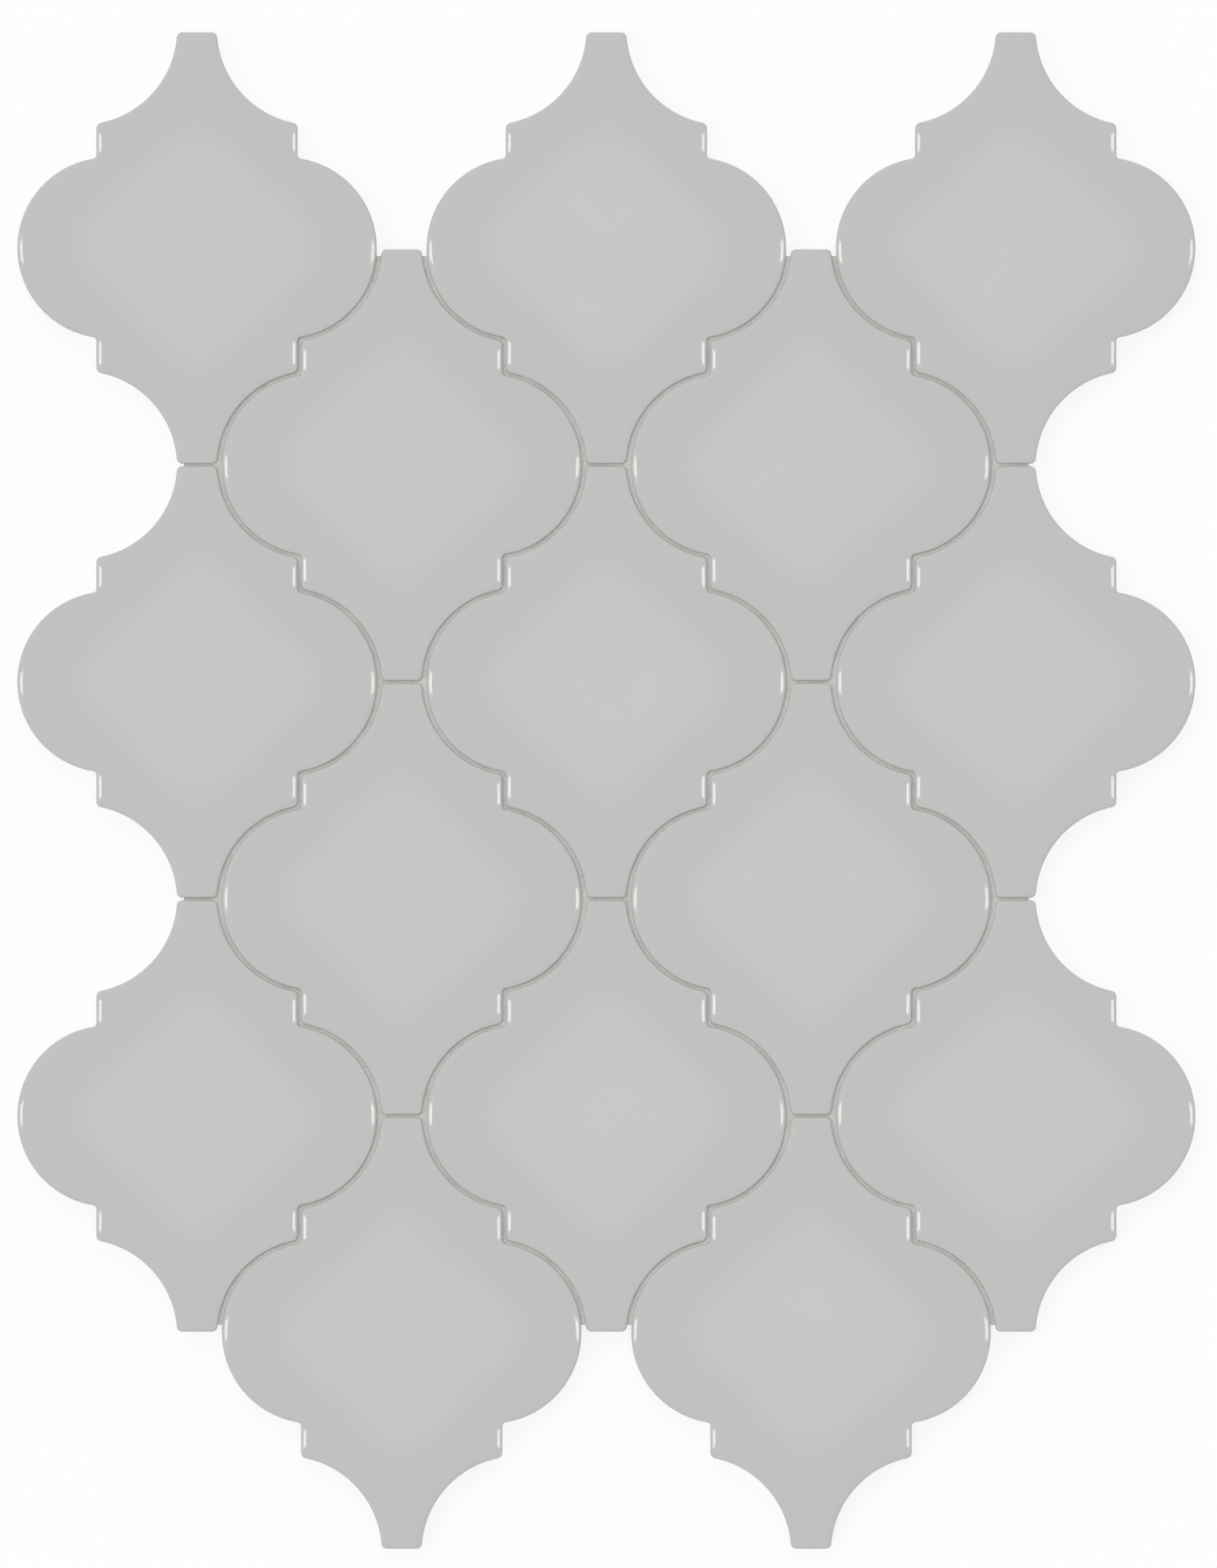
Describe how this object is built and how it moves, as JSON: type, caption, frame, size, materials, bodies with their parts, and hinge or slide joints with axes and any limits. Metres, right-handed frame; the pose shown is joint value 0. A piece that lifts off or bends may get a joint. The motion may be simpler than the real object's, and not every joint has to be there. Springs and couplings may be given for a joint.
{
  "type": "arabesque mosaic tile sheet",
  "caption": "Flat mosaic sheet of glazed grey arabesque lantern tiles, nested in staggered columns and held together by thin filled joints, for facing walls.",
  "frame": {"origin": "bottom centre of the bounding box, on the plane of the tile backs", "axes": "+X across the columns to the right as seen from the face, +Y up along the columns, +Z out of the glazed face"},
  "size_m": [0.2752, 0.3544, 0.008],
  "materials": {
    "glazed_tile": "glossy light grey glaze on the face and rounded edge, bare off-white body at the sides and back",
    "joint_filler": "matt light grey cement grout with a fine sandy grain"
  },
  "bodies": {
    "root": {"tile_col1_row1": "glazed_tile", "tile_col1_row2": "glazed_tile", "tile_col1_row3": "glazed_tile", "tile_col2_row1": "glazed_tile", "tile_col2_row2": "glazed_tile", "tile_col2_row3": "glazed_tile", "tile_col3_row1": "glazed_tile", "tile_col3_row2": "glazed_tile", "tile_col3_row3": "glazed_tile", "tile_col4_row1": "glazed_tile", "tile_col4_row2": "glazed_tile", "tile_col4_row3": "glazed_tile", "tile_col5_row1": "glazed_tile", "tile_col5_row2": "glazed_tile", "tile_col5_row3": "glazed_tile", "joint_filler": "joint_filler"}
  },
  "joints": []
}
